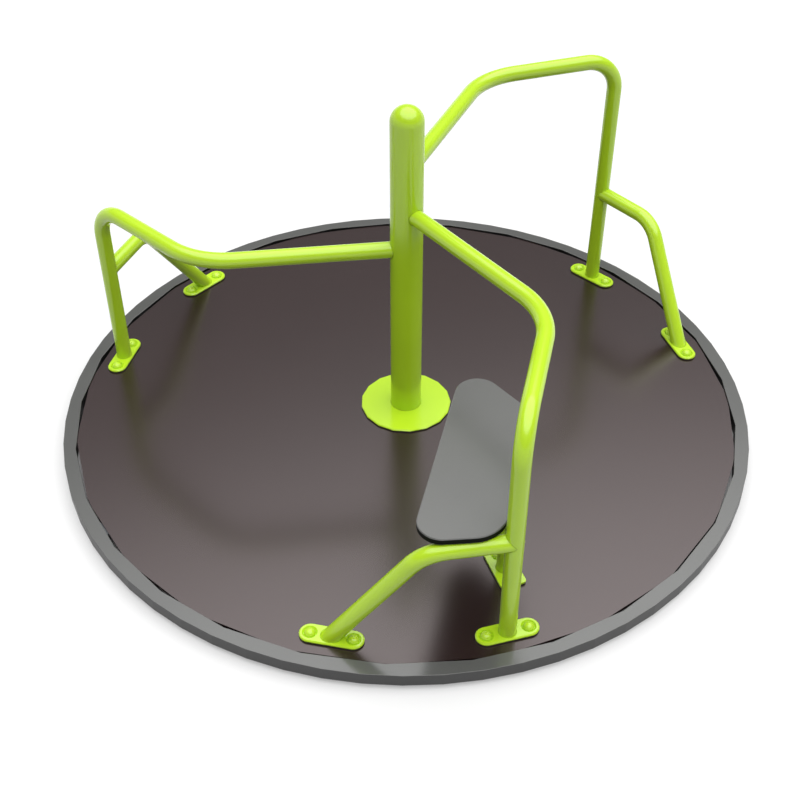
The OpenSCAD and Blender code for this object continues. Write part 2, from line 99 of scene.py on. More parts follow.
SHANK = 0.005             # radius
SHANK_CHAMFER = 0.0008
HEAD_CHAMFER = 0.0004
HEAD_COLLAR = 0.002       # upright part of a bolt head, below its dome
POST_CHAMFER = 0.0006
BEAD_WAVES = 44           # ripples round one bead
BEAD_WAVE_HEIGHT = 0.10   # as a share of the bead's radius
DISH_WALL = (             # shares of a dish's radius and depth, from its lip inwards
    (0.98, 0.10), (0.94, 0.36), (0.89, 0.66), (0.84, 0.88), (0.80, 1.0))

# How finely round things are drawn

POST_STEPS = 96
TUBE_SIDES = 40
BEND_DEGREES = 3.0        # turn of one step in a bend
BEND_STEPS = 8            # fewest steps in a bend
BEAD_SIDES = 8
BEAD_STEPS = 72
BOLT_STEPS = 40
DISH_STEPS = 48
END_STEPS = 28            # round end of a foot plate
CORNER_STEPS = 24         # corner of the seat board
SHARP = math.radians(32)  # edges that turn more than this are shaded sharp
FACETED = 0.01            # the same for the rim, whose straight sides show

# Borders between two paints on one piece, and between a paint and painted shade

# Painted contact shade: a near-black band at the foot of the plates and flange, where
# shade falls against the deck
CONTACT_SHADE_EDGE = 0.0004        # height over which the painted contact shade fades out
PAINTED_CONTACT_SHADE = (0.004, 0.005, 0.001)
CORE_EDGE = 0.0002        # height over which the board's face turns into its core
CORE_BLACK = (0.008, 0.008, 0.008)
# Below its face the rim's walls carry painted shade, split between inner and outer side
# at the middle radius
RIM_FACE = (0.0010, 0.0004)        # depths below the rim's top where its face begins
RIM_WALL_MIDDLE = (0.833, 0.834)   # radii between the rim's inner and outer side

# Stage

FLOOR_RADIUS = 14.0
OPEN_FLOOR = (0.80, 0.85)          # radii over which the floor starts to glow
BACKDROP_FADE = 1.5                # height, in horizons, at which its white is gone
WHITE = (1.0, 1.0, 1.0)


# Sizes and colours


class SpinnerPlatform(bpy.types.PropertyGroup):
    rim_radius: FloatProperty(
        name="Rim radius", description="From the axis to the rim's outer corners",
        default=0.850, unit="LENGTH")
    rim_inner_radius: FloatProperty(
        name="Rim inner radius", description="From the axis to the rim's inner corners",
        default=0.8203, unit="LENGTH")
    rim_outer_sides: IntProperty(
        name="Outer sides", description="Straight sides on the rim's outer edge",
        default=64, min=12)
    rim_inner_sides: IntProperty(
        name="Inner sides", description="Straight sides on the rim's inner edge",
        default=29, min=12)
    rim_outer_turn: FloatProperty(
        name="Outer turn", description="Direction of the first outer corner",
        default=math.radians(2.5), subtype="ANGLE")
    rim_inner_turn: FloatProperty(
        name="Inner turn", description="Direction of the first inner corner",
        default=math.radians(8.6), subtype="ANGLE")
    rim_bevel: FloatProperty(
        name="Rim bevel", description="Rounding of the rim's edges",
        default=0.0008, unit="LENGTH")


class SpinnerPost(bpy.types.PropertyGroup):
    wall: FloatProperty(
        name="Post wall", description="Wall of the post and its cap",
        default=0.004, unit="LENGTH")
    flange_radius: FloatProperty(
        name="Flange radius", description="From the axis to the flange's corners",
        default=0.113, unit="LENGTH")
    flange_sides: IntProperty(
        name="Flange sides", description="Straight sides of the flange",
        default=17, min=6)
    flange_turn: FloatProperty(
        name="Flange turn", description="Direction of the flange's first corner",
        default=math.radians(17.6), subtype="ANGLE")
    flange_bevel: FloatProperty(
        name="Flange bevel", description="Width of the flange's bevelled edge",
        default=0.002, unit="LENGTH")


class SpinnerTubes(bpy.types.PropertyGroup):
    radius: FloatProperty(
        name="Tube radius", description="Outer radius of rails, branches and seat leg",
        default=0.01905, unit="LENGTH")
    elbow: FloatVectorProperty(
        name="Elbow", description="Rail elbow, out along the arm and to its side",
        default=(0.456, 0.145), size=2, unit="LENGTH")
    leg_foot: FloatVectorProperty(
        name="Leg foot", description="Leg, out along the arm and to its side",
        default=(0.76365, -0.04537), size=2, unit="LENGTH")
    branch_elbow: FloatVectorProperty(
        name="Branch elbow",
        description="Branch elbow, out along the arm and to its side",
        default=(0.732, -0.223), size=2, unit="LENGTH")
    branch_foot: FloatVectorProperty(
        name="Branch foot",
        description="Branch foot, out along the arm and to its side",
        default=(0.65436, -0.39629), size=2, unit="LENGTH")
    seat_leg: FloatVectorProperty(
        name="Seat leg", description="Seat leg, out along the arm and to its side",
        default=(0.598, 0.018), size=2, unit="LENGTH")
    elbow_bend: FloatProperty(
        name="Elbow bend", description="Bend radius of the level rail",
        default=0.185, unit="LENGTH")
    leg_bend: FloatProperty(
        name="Leg bend", description="Bend radius from the rail into the leg",
        default=0.085, unit="LENGTH")
    branch_bend: FloatProperty(
        name="Branch bend", description="Bend radius of the branches",
        default=0.088, unit="LENGTH")
    seat_bend: FloatProperty(
        name="Seat leg bend", description="Bend radius at the top of the seat leg",
        default=0.057, unit="LENGTH")
    weld: FloatProperty(
        name="Weld", description="Radius of the weld beads",
        default=0.0013, unit="LENGTH")


class SpinnerFeet(bpy.types.PropertyGroup):
    length: FloatProperty(
        name="Plate length", description="Length of a foot plate",
        default=0.140, unit="LENGTH")
    width: FloatProperty(
        name="Plate width", description="Width of a foot plate",
        default=0.048, unit="LENGTH")
    bolt_gap: FloatProperty(
        name="Bolt gap", description="Distance between the two bolts of a foot",
        default=0.094, unit="LENGTH")
    dish: FloatProperty(
        name="Dish radius", description="Radius of the dish around a bolt head",
        default=0.0165, unit="LENGTH")
    dish_depth: FloatProperty(
        name="Dish depth", description="Depth of the dish", default=0.004, unit="LENGTH")
    head: FloatProperty(
        name="Bolt head radius", description="Radius of a domed bolt head",
        default=0.0125, unit="LENGTH")
    head_height: FloatProperty(
        name="Bolt head height", description="Height of a domed bolt head",
        default=0.0115, unit="LENGTH")
    bevel: FloatProperty(
        name="Plate bevel", description="Rounding of the plate's top edge",
        default=0.0024, unit="LENGTH")
    seat_corner: FloatProperty(
        name="Seat plate corner", description="Corner radius of the seat leg's plate",
        default=0.008, unit="LENGTH")


class SpinnerSeat(bpy.types.PropertyGroup):
    inner_end: FloatVectorProperty(
        name="Inner end", description="Corner of the board nearest the post",
        default=(0.248, 0.050), size=2, unit="LENGTH")
    inner_side: FloatVectorProperty(
        name="Inner side", description="Corner of the board below the rail's elbow",
        default=(0.457, 0.124), size=2, unit="LENGTH")
    outer_side: FloatVectorProperty(
        name="Outer side", description="Corner of the board beside the leg",
        default=(0.773, -0.074), size=2, unit="LENGTH")
    outer_end: FloatVectorProperty(
        name="Outer end", description="Outer corner of the board",
        default=(0.727, -0.252), size=2, unit="LENGTH")
    corner: FloatProperty(
        name="Corner radius", description="Radius of the board's corners",
        default=0.050, unit="LENGTH")
    leg_corner: FloatProperty(
        name="Leg corner radius", description="Radius of the corner beside the leg",
        default=0.077, unit="LENGTH")
    edge: FloatProperty(
        name="Edge", description="Rounding of the board's edges",
        default=0.0018, unit="LENGTH")
    face: FloatProperty(
        name="Face", description="Thickness of the grey face on the black core",
        default=0.0020, unit="LENGTH")


class SpinnerFinish(bpy.types.PropertyGroup):
    lime: FloatVectorProperty(
        name="Lime", description="Powder coat of post, rails and plates",
        default=(0.434, 0.670, 0.018), size=3, subtype="COLOR", min=0, max=1)
    lime_roughness: FloatProperty(
        name="Lime roughness", description="Gloss of the powder coat",
        default=0.10, subtype="FACTOR", min=0, max=1)
    # Height of the painted contact shade: the lime is painted near black this far up the
    # plates and flange, for the shade against the deck
    seam: FloatProperty(
        name="Seam", description="Height of the dark seam under plates and flange",
        default=0.0034, unit="LENGTH", min=0)
    deck: FloatVectorProperty(
        name="Deck", description="Coating of the deck sheet",
        default=(0.0165, 0.0080, 0.0078), size=3, subtype="COLOR", min=0, max=1)
    deck_roughness: FloatProperty(
        name="Deck roughness", description="Gloss of the deck sheet",
        default=0.20, subtype="FACTOR", min=0, max=1)
    rim: FloatVectorProperty(
        name="Rim", description="Paint of the rim",
        default=(0.085, 0.086, 0.083), size=3, subtype="COLOR", min=0, max=1)
    # Painted shade on the rim's walls: the outer side is painted dark grey and the inner
    # side beside the deck near black, for the shade that falls there
    rim_side_shade: FloatVectorProperty(
        name="Rim side shade", description="Outer side of the rim",
        default=(0.010, 0.010, 0.010), size=3, subtype="COLOR", min=0, max=1)
    rim_inside_shade: FloatVectorProperty(
        name="Rim inside shade", description="Inner side of the rim, beside the deck",
        default=(0.003, 0.003, 0.003), size=3, subtype="COLOR", min=0, max=1)
    seat: FloatVectorProperty(
        name="Seat", description="Grey faces of the seat board",
        default=(0.102, 0.103, 0.099), size=3, subtype="COLOR", min=0, max=1)
    primer: FloatVectorProperty(
        name="Primer", description="Primer of the steel below the deck",
        default=(0.16, 0.17, 0.18), size=3, subtype="COLOR", min=0, max=1)


class SpinnerStage(bpy.types.PropertyGroup):
    camera_at: FloatVectorProperty(
        name="Camera", description="Where the camera stands",
        default=(-0.8212, -2.2986, 2.1624), size=3, subtype="TRANSLATION")
    camera_along: FloatVectorProperty(
        name="Looks along", description="Direction in which the camera looks",
        default=(0.2501, 0.7139, -0.6541), size=3, subtype="DIRECTION")
    focal_length: FloatProperty(
        name="Focal length", description="On a sensor 36 mm wide", default=57.466, min=1)
    sky_high: FloatProperty(
        name="High sky", description="Strength of the soft light from overhead",
        default=3.0, min=0)
    sky_low: FloatProperty(
        name="Low sky", description="Strength of the soft light from the sides",
        default=0.27, min=0)
    sky_axis: FloatVectorProperty(
        name="Sky axis", description="Direction of the middle of the overhead light",
        default=(0.125, -0.04, 0.991), size=3, subtype="DIRECTION")
    sky_start: FloatProperty(
        name="Sky start",
        description="Height, as a sine, where the overhead light begins",
        default=0.61, min=0, max=1)
    sky_full: FloatProperty(
        name="Sky full",
        description="Height, as a sine, where the overhead light is full",
        default=0.79, min=0, max=1)
    horizon: FloatProperty(
        name="Horizon",
        description="Height, as a sine, up to which the backdrop is white",
        default=0.18, min=0.01, max=1)
    floor_seen: FloatProperty(
        name="Floor, seen", description="Paleness of the floor in the picture",
        default=0.44, subtype="FACTOR", min=0, max=1)
    floor_lit: FloatProperty(
        name="Floor, lit", description="How much light the floor sends back up",
        default=0.33, subtype="FACTOR", min=0, max=1)
    floor_glow: FloatProperty(
        name="Floor glow", description="Lifts the seen floor to white",
        default=0.38, min=0)


# Shader graphs


def tint(colour, factor):
    """The colour made darker or lighter."""
    return tuple(min(1.0, c * factor) for c in colour)


class Signal:
    """An output socket on which arithmetic adds Math nodes."""

    def __init__(self, graph, socket):
        self.graph = graph
        self.socket = socket

    def _math(self, operation, *values):
        return self.graph.node("ShaderNodeMath", {"operation": operation},
            dict(enumerate(values))).out()

    def __add__(self, other):
        return self._math("ADD", self, other)

    def __radd__(self, other):
        return self._math("ADD", other, self)

    def __sub__(self, other):
        return self._math("SUBTRACT", self, other)

    def __rsub__(self, other):
        return self._math("SUBTRACT", other, self)

    def __mul__(self, other):
        return self._math("MULTIPLY", self, other)

    def __rmul__(self, other):
        return self._math("MULTIPLY", other, self)

    def __pow__(self, other):
        return self._math("POWER", self, other)

    def smooth(self, low, high):
        """0 below low, 1 above high, soft in between."""
        return self.graph.node("ShaderNodeMapRange",
            {"interpolation_type": "SMOOTHSTEP"},
            {"Value": self, "From Min": low, "From Max": high}).out("Result")

    def absolute(self):
        return self._math("ABSOLUTE", self)

    def largest(self, other):
        return self._math("MAXIMUM", self, other)


class Placed:
    """A node in a graph, with its outputs as signals."""

    def __init__(self, graph, node):
        self.graph = graph
        self.made = node

    def out(self, name=0):
        return Signal(self.graph, self.made.outputs[name])


class Graph:
    """The nodes of one material or of the world."""

    def __init__(self, tree):
        self.tree = tree
        tree.nodes.clear()

    def node(self, kind, settings=None, sockets=None):
        """One node, its settings first, then the values or links of its sockets."""
        made = self.tree.nodes.new(kind)
        for name, value in (settings or {}).items():
            setattr(made, name, value)
        for name, value in (sockets or {}).items():
            socket = made.inputs[name]
            if isinstance(value, Signal):
                self.tree.links.new(value.socket, socket)
            elif socket.type == "RGBA" and len(value) == 3:
                socket.default_value = (*value, 1.0)
            else:
                socket.default_value = value
        return Placed(self, made)

    def place(self):
        return self.node("ShaderNodeTexCoord").out("Object")

    def axes(self):
        """X, Y and Z of the place, as three signals."""
        parts = self.node("ShaderNodeSeparateXYZ", None, {"Vector": self.place()})
        return parts.out("X"), parts.out("Y"), parts.out("Z")

    def from_axis(self):
        """Distance from the spinner's axis."""
        x, y, _ = self.axes()
        return (x * x + y * y) ** 0.5

    def seen(self):
        """1 for rays that end in the picture, 0 for those that only bring light."""
        ray = self.node("ShaderNodeLightPath")
        return ray.out("Is Camera Ray").largest(ray.out("Is Glossy Ray")).largest(
            ray.out("Is Transmission Ray"))

    def noise(self, scale, detail=3.0, roughness=0.5, at=None):
        return self.node("ShaderNodeTexNoise", None, {
            "Vector": at or self.place(), "Scale": scale, "Detail": detail,
            "Roughness": roughness}).out("Fac")

    def stretched(self, scale, turn=(0.0, 0.0, 0.0)):
        """The place, turned and stretched for a pattern with a direction."""
        return self.node("ShaderNodeMapping", None, {
            "Vector": self.place(), "Scale": scale, "Rotation": turn}).out("Vector")

    def cells(self, scale):
        return self.node("ShaderNodeTexVoronoi", {"feature": "SMOOTH_F1"}, {
            "Vector": self.place(), "Scale": scale, "Smoothness": 0.6}).out("Distance")

    def blend(self, amount, first, second):
        """Mixes two colours, which are sockets 6 and 7 of the node."""
        return self.node("ShaderNodeMix", {"data_type": "RGBA"}, {
            "Factor": amount, 6: first, 7: second}).out(2)

    def mottled(self, cloud, colour, darkest, lightest):
        """A colour that changes softly with a cloud, between two shares of itself."""
        return self.blend(cloud.smooth(0.3, 0.7),
            tint(colour, darkest), tint(colour, lightest))

    def relief(self, height, depth, strength):
        return self.node("ShaderNodeBump", None, {
            "Height": height, "Distance": depth, "Strength": strength}).out("Normal")


def paint(name, slot, look):
    """A material whose surface is filled in by look(graph)."""
    material = bpy.data.materials.new(name)
    material.use_nodes = True
    graph = Graph(material.node_tree)
    surface = graph.node("ShaderNodeBsdfPrincipled", None, look(graph))
    graph.node("ShaderNodeOutputMaterial", None,
        {"Surface": surface.out("BSDF")})
    material["slot"] = slot
    return material


def lime_powder_coat(finish):
    def look(g):
        cloud = g.noise(3.0, 4.0)
        peel = g.noise(260.0, 2.0, 0.4)
        fleck = g.noise(900.0, 1.0)
        height = g.axes()[2]
        # Below the contact shade height the coat is painted near black: painted shade
        # where the plates and flange meet the deck
        clear = height.smooth(DECK_TOP + finish.seam - CONTACT_SHADE_EDGE, DECK_TOP + finish.seam)
        coat = g.mottled(cloud, finish.lime, 0.96, 1.03)
        return {
            "Base Color": g.blend(clear, PAINTED_CONTACT_SHADE, coat),
            "Roughness": finish.lime_roughness + 0.05 * cloud + 0.05 * fleck
                + 0.5 * (1 - clear),
            "Specular IOR Level": 0.62,
            "Normal": g.relief(peel * 0.8 + fleck * 0.2, 0.00012, 0.2),
        }
    return paint("Lime powder coat and contact shade", "lime_powder_coat", look)


def lime_with_weld_shade(finish):
    # Painted shade: the lime on the weld beads is darkened to stand in for the shade in
    # the creases where tubes meet plates, post and each other
    def look(g):
        cloud = g.noise(40.0, 3.0)
        return {
            "Base Color": g.blend(cloud,
                tint(finish.lime, 0.62), tint(finish.lime, 0.74)),
            "Roughness": 0.55 + 0.1 * cloud,
            "Specular IOR Level": 0.1,
            "Normal": g.relief(g.noise(260.0, 2.0), 0.0001, 0.2),
        }
    return paint("Lime with painted weld shade", "lime_powder_coat", look)


def deck_coating(finish):
    def look(g):
        cloud = g.noise(2.2, 5.0, 0.55)
        grain = g.noise(420.0, 3.0, 0.6)
        grit = g.cells(300.0)
        scuff = g.noise(9.0, 6.0, 0.65, g.stretched((1.0, 3.2, 1.0), (0, 0, 0.6)))
        return {
            "Base Color": g.mottled(cloud, finish.deck, 0.94, 1.06),
            "Roughness": finish.deck_roughness + 0.05 * grain
                + 0.006 * scuff.smooth(0.5, 0.75),
            "Specular IOR Level": 0.93,
            "Specular Tint": (1.0, 0.90, 0.90),
            "Normal": g.relief(grain * 0.6 + grit * 0.4, 0.00008, 0.2),
        }
    return paint("Deck coating", "deck_sheet", look)


def rim_paint(finish):
    def look(g):
        cloud = g.noise(4.0, 4.0)
        peel = g.noise(300.0, 3.0, 0.5)
        top = g.axes()[2].smooth(*(RIM_TOP - depth for depth in RIM_FACE))
        outside = g.from_axis().smooth(*RIM_WALL_MIDDLE)
        face = g.mottled(cloud, finish.rim, 0.94, 1.05)
        # Painted shade: the walls are darkened, near black on the inner side beside the
        # deck and dark grey on the outer side
        wall = g.blend(outside, tuple(finish.rim_inside_shade), tuple(finish.rim_side_shade))
        return {
            "Base Color": g.blend(top, wall, face),
            "Roughness": 0.13 + 0.04 * peel + 0.3 * (1 - top),
            "Specular IOR Level": 0.70,
            "Normal": g.relief(peel, 0.0001, 0.12),
        }
    return paint("Rim paint and wall shade", "rim_paint", look)


def steel_primer(finish):
    def look(g):
        cloud = g.noise(12.0, 5.0, 0.6)
        spray = g.noise(600.0, 2.0)
        return {
            "Base Color": g.blend(cloud.smooth(0.35, 0.7),
                tint(finish.primer, 0.85), tint(finish.primer, 1.1)),
            "Roughness": 0.6 + 0.15 * cloud,
            "Normal": g.relief(spray, 0.0001, 0.5),
        }
    return paint("Steel primer", "frame_steel", look)


def zinc_plate():
    def look(g):
        cloud = g.noise(60.0, 4.0)
        spangle = g.cells(420.0)
        return {
            "Base Color": g.blend(spangle.smooth(0.2, 0.8),
                (0.50, 0.51, 0.53), (0.66, 0.67, 0.68)),
            "Metallic": 1.0,
            "Roughness": 0.32 + 0.2 * cloud,
            "Normal": g.relief(cloud, 0.00005, 0.4),
        }
    return paint("Zinc plate", "zinc_steel", look)


def ground_steel():
    def look(g):
        lines = g.noise(90.0, 3.0, 0.5, g.stretched((1.0, 1.0, 14.0)))
        return {
            "Base Color": g.blend(lines, (0.60, 0.61, 0.63), (0.72, 0.73, 0.75)),
            "Metallic": 1.0,
            "Roughness": 0.18 + 0.14 * lines,
            "Normal": g.relief(lines, 0.00002, 0.4),
        }
    return paint("Ground steel", "bearing_steel", look)


def seal_rubber():
    def look(g):
        cloud = g.noise(80.0, 3.0)
        return {
            "Base Color": g.blend(cloud, (0.018, 0.018, 0.018), (0.03, 0.03, 0.03)),
            "Roughness": 0.7 + 0.15 * cloud,
            "Normal": g.relief(g.noise(700.0), 0.00005, 0.5),
        }
    return paint("Seal rubber", "black_rubber", look)


def seat_laminate(finish, seat):
    middle = (BOARD_LOW + BOARD_TOP) / 2
    half = (BOARD_TOP - BOARD_LOW) / 2

    def look(g):
        face = (g.axes()[2] - middle).absolute().smooth(
            half - seat.face - CORE_EDGE, half - seat.face)
        cloud = g.noise(7.0, 4.0)
        grain = g.noise(800.0, 3.0, 0.6)
        grey = g.mottled(cloud, finish.seat, 0.97, 1.03)
        return {
            "Base Color": g.blend(face, CORE_BLACK, grey),
            "Roughness": 0.24 + 0.06 * grain + 0.40 * (1 - face),
            "Metallic": 1 - face,
            "Specular IOR Level": 0.66,
            "Normal": g.relief(grain, 0.00008, 0.35),
        }
    return paint("Seat laminate", "seat_laminate", look)


# Mesh tools


def piece(name, bm, material, *nodes, body=PLATFORM, sharp=SHARP):
    """Makes bm the object called name, which rides on body and stands for nodes."""
    bmesh.ops.remove_doubles(bm, verts=bm.verts, dist=MERGE)
    bmesh.ops.recalc_face_normals(bm, faces=bm.faces)
    for face in bm.faces:
        face.smooth = True
    for edge in bm.edges:
        edge.smooth = edge.calc_face_angle(0.0) < sharp
    mesh = bpy.data.meshes.new(name)
    bm.to_mesh(mesh)
    bm.free()
    mesh.materials.append(material)
    made = bpy.data.objects.new(name, mesh)
    bpy.context.scene.collection.objects.link(made)
    bpy.context.view_layer.update()
    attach(made, body)
    if nodes:
        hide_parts(*nodes)
    return made


def edges_in(geometry):
    """The edges in what a bmesh operator gave back."""
    return [g for g in geometry if isinstance(g, bmesh.types.BMEdge)]


def verts_in(geometry):
    """The vertices in what a bmesh operator gave back."""
    return [g for g in geometry if isinstance(g, bmesh.types.BMVert)]


def verts_of(edges):
    return list(dict.fromkeys(v for e in edges for v in e.verts))


def circle(bm, sides, radius, spot):
    """A closed outline of straight sides about spot. Gives back its edges."""
    made = bmesh.ops.create_circle(bm, segments=sides, radius=radius, matrix=spot)
    return list(dict.fromkeys(e for v in made["verts"] for e in v.link_edges))


def ngon(bm, sides, radius, turn, z):
    """A closed outline about the Z axis, level at height z."""
    return circle(bm, sides, radius,
        Matrix.Translation((0, 0, z)) @ Matrix.Rotation(turn, 4, "Z"))


def grow(bm, edges, move):
    """Extrudes an outline and moves the new one. Gives back its edges."""
    made = bmesh.ops.extrude_edge_only(bm, edges=edges)["geom"]
    new = set(verts_in(made))
    bmesh.ops.translate(bm, verts=verts_in(made), vec=move)
    return [e for e in edges_in(made) if new.issuperset(e.verts)]


def close(bm, edges):
    """Closes an outline with one face."""
    bmesh.ops.contextual_create(bm, geom=edges)


def ring_plate(bm, outer, inner, thick):
    """Makes a plate that reaches down from two level outlines, one in the other."""
    bmesh.ops.triangle_fill(bm, edges=outer + inner, use_beauty=True,
        use_dissolve=True, normal=(0, 0, 1))
    below = grow(bm, outer, (0, 0, -thick)) + grow(bm, inner, (0, 0, -thick))
    bmesh.ops.triangle_fill(bm, edges=below, use_beauty=True,
        use_dissolve=True, normal=(0, 0, -1))
    bmesh.ops.recalc_face_normals(bm, faces=bm.faces)


def spin_round(bm, geometry, steps):
    """Spins new geometry all round the Z axis. Gives back all its vertices."""
    others = set(bm.verts) - set(verts_in(geometry))
    bmesh.ops.spin(bm, geom=geometry, cent=(0, 0, 0), axis=(0, 0, 1),
        angle=math.tau, steps=steps, use_merge=True, use_duplicate=False)
    return [v for v in bm.verts if v not in others]


def lathe(bm, profile, steps, spot=None):
    """Spins a profile of (radius, height) points and puts the shape at its spot."""
    verts = [bm.verts.new((r, 0, z)) for r, z in profile]
    edges = [bm.edges.new(pair) for pair in zip(verts, verts[1:])]
    turned = spin_round(bm, verts + edges, steps)
    bmesh.ops.transform(bm, matrix=spot or Matrix(), verts=turned)


def arc(centre, radius, start, end, steps):
    """Profile points on an arc about a point of the axis, angles in degrees."""
    turns = [math.radians(start + (end - start) * i / steps) for i in range(steps + 1)]
    return [(radius * math.cos(turn), centre + radius * math.sin(turn))
        for turn in turns]


def swing(bm, seed, centre, axis, angle, steps):
    """Draws an arc that starts at the vertex seed. Gives back its last vertex."""
    made = bmesh.ops.spin(bm, geom=[seed], cent=centre, axis=axis, angle=angle,
        steps=steps)
    return verts_in(made["geom_last"])[0]


def join(bm, arcs):
    """Joins arcs, given as first and last vertex, into one closed outline."""
    for i, (_, last) in enumerate(arcs):
        bm.edges.new((last, arcs[(i + 1) % len(arcs)][0]))


def soften(bm, edges, width, segments=1):
    """Bevels the edges."""
    bmesh.ops.bevel(bm, geom=edges, offset=width, offset_type="OFFSET",
        segments=segments, profile=0.5, affect="EDGES", material=-1,
        clamp_overlap=True)


def rim_edges(bm, height):
    """Edges that lie at one height and border an upright face."""
    return [e for e in bm.edges
        if all(abs(v.co.z - height) < MERGE for v in e.verts)
        and any(abs(f.normal.z) < 0.5 for f in e.link_faces)]


# Bent tubes


def facing(along):
    """The turn that brings the Z axis along a direction."""
    return along.to_track_quat("Z", "Y").to_matrix().to_4x4()


def bent_tube(bm, points, bends, radius):
    """Straight lengths between points, joined by round bends."""
    here = points[0]
    ring = circle(bm, TUBE_SIDES, radius,
        Matrix.Translation(here) @ facing((points[1] - here).normalized()))
    close(bm, ring)
    for last, point, following, bend in zip(points, points[1:], points[2:], bends):
        before = (point - last).normalized()
        after = (following - point).normalized()
        turn = before.angle(after)
        back = bend * math.tan(turn / 2)
        stop = point - before * back
        ring = grow(bm, ring, stop - here)
        side = (after - before * after.dot(before)).normalized()
        steps = max(BEND_STEPS, round(math.degrees(turn) / BEND_DEGREES))
        made = bmesh.ops.spin(bm, geom=ring + verts_of(ring),
            cent=stop + side * bend, axis=before.cross(side), angle=turn,
            steps=steps, use_merge=False, use_duplicate=False)
        ring = edges_in(made["geom_last"])
        here = point + after * back
    close(bm, grow(bm, ring, points[-1] - here))


def weld(bm, at, along, radius, bead, meets):
    """A bead round a tube of that radius, where its skin meets another surface.

    The tube's axis goes through at. meets(skin) says how far along from there the
    other surface is, for the point of the tube's skin that lies across from at.
    """
    ring = circle(bm, BEAD_SIDES, bead,
        Matrix.Translation((radius, 0, 0)) @ Matrix.Rotation(math.pi / 2, 4, "X"))
    torus = spin_round(bm, ring + verts_of(ring), BEAD_STEPS)
    turn = facing(along)
    for v in torus:
        wave = math.sin(BEAD_WAVES * math.atan2(v.co.y, v.co.x))
        skin = Vector((v.co.x, v.co.y, 0)).normalized() * radius
        v.co = skin + (v.co - skin) * (1 + BEAD_WAVE_HEIGHT * wave)
        v.co.z += meets(turn.to_3x3() @ skin)
    bmesh.ops.transform(bm, matrix=Matrix.Translation(at) @ turn, verts=torus)


def meets_round(radius, along, side):
    """For a level tube through the axis of an upright round skin.

    side is 1 where the skin lies ahead, and -1 where it lies behind.
    """
    def distance(skin):
        flat = skin.xy
        b = flat.dot(along.xy)
        c = flat.dot(flat) - radius ** 2
        return -b + side * math.sqrt(max(b * b - c, 0.0))
    return distance


def meets_level(along):
    """For a tube that stands on a level surface."""
    def distance(skin):
        return -skin.z / along.z
    return distance


# Places


def arm_point(arm, flat, height):
    """A point of an arm, from its place out along the arm and to its side."""
    return Matrix.Rotation(math.radians(ARMS[arm]), 4, "Z") @ Vector((*flat, height))


def rail_height(arm):
    tubes = bpy.context.scene.spinner_tubes
    return top_of("rail_" + arm) - tubes.radius


def branch_height():
    tubes = bpy.context.scene.spinner_tubes
    return top_of("branch_high") - tubes.radius


def foot_spot(arm, flat):
    """Frame of a foot plate: X along the plate, which lies square to the radius."""
    at = arm_point(arm, flat, 0)
    return Matrix.Translation((at.x, at.y, DECK_TOP)) @ Matrix.Rotation(
        math.atan2(at.y, at.x) + math.pi / 2, 4, "Z")


def seat_spot():
    """Frame of the seat leg's plate: X along the plate, which lies along the arm."""
    tubes = bpy.context.scene.spinner_tubes
    at = arm_point("middle", tubes.seat_leg, 0)
    return Matrix.Translation((at.x, at.y, DECK_TOP)) @ Matrix.Rotation(
        math.radians(ARMS["middle"]), 4, "Z")


def seat_plate_size():
    """Length and width of the seat leg's plate."""
    low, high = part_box("seat_leg_plate")
    return high[1] - low[1], high[0] - low[0]


def bolt_places(gap):
    """Where the two bolts of a foot are, along its plate."""
    return (-gap / 2, gap / 2)


# Pieces


class Build(bpy.types.Operator):
    """Shared base of the operators that build the spinner"""
    bl_options = {"REGISTER", "UNDO"}

    def execute(self, context):
        self.build(context.scene)
        return {"FINISHED"}


class SPINNER_OT_rim(Build):
    """Builds the hollow rim, straight-sided inside and out"""
    bl_idname = "spinner.rim"
    bl_label = "Rim"

    def build(self, scene):
        size = scene.spinner_platform
        bm = bmesh.new()
        top, low = top_of("rim_ring"), bottom_of("rim_ring")
        outer = ngon(bm, size.rim_outer_sides, size.rim_radius, size.rim_outer_turn, top)
        inner = ngon(bm, size.rim_inner_sides, size.rim_inner_radius,
            size.rim_inner_turn, top)
        ring_plate(bm, outer, inner, top - low)
        soften(bm, rim_edges(bm, top) + rim_edges(bm, low), size.rim_bevel, 2)
        piece("Rim", bm, MATERIALS["rim"], "rim_ring", sharp=FACETED)


class SPINNER_OT_post(Build):
    """Builds the post with its domed cap, in one skin"""
    bl_idname = "spinner.post"
    bl_label = "Post"

    def build(self, scene):
        bm = bmesh.new()
        low = bottom_of("post")
        dome = POST_TOP - POST_RADIUS
        bore = POST_RADIUS - scene.spinner_post.wall
        foot = [(bore, low), (POST_RADIUS - POST_CHAMFER, low),
            (POST_RADIUS, low + POST_CHAMFER)]
        lathe(bm, foot + arc(dome, POST_RADIUS, 0, 90, 20), POST_STEPS)
        lathe(bm, arc(dome, bore, 90, 0, 12) + [(bore, low)], POST_STEPS)
        piece("Post", bm, MATERIALS["lime"], "post", "post_cap")


class SPINNER_OT_flange(Build):
    """Builds the many-sided flange at the foot of the post"""
    bl_idname = "spinner.flange"
    bl_label = "Flange"

    def build(self, scene):
        size = scene.spinner_post
        bm = bmesh.new()
        outer = ngon(bm, size.flange_sides, size.flange_radius, size.flange_turn,
            FLANGE_TOP)
        inner = ngon(bm, POST_STEPS, POST_RADIUS - BORE_OVERLAP, 0, FLANGE_TOP)
        ring_plate(bm, outer, inner, FLANGE_TOP - bottom_of("post_flange"))
        around_post = POST_RADIUS * 1.5
        edge = [e for e in rim_edges(bm, FLANGE_TOP)
            if all(v.co.xy.length > around_post for v in e.verts)]
        soften(bm, edge, size.flange_bevel)
        piece("Post_flange", bm, MATERIALS["lime"], "post_flange")


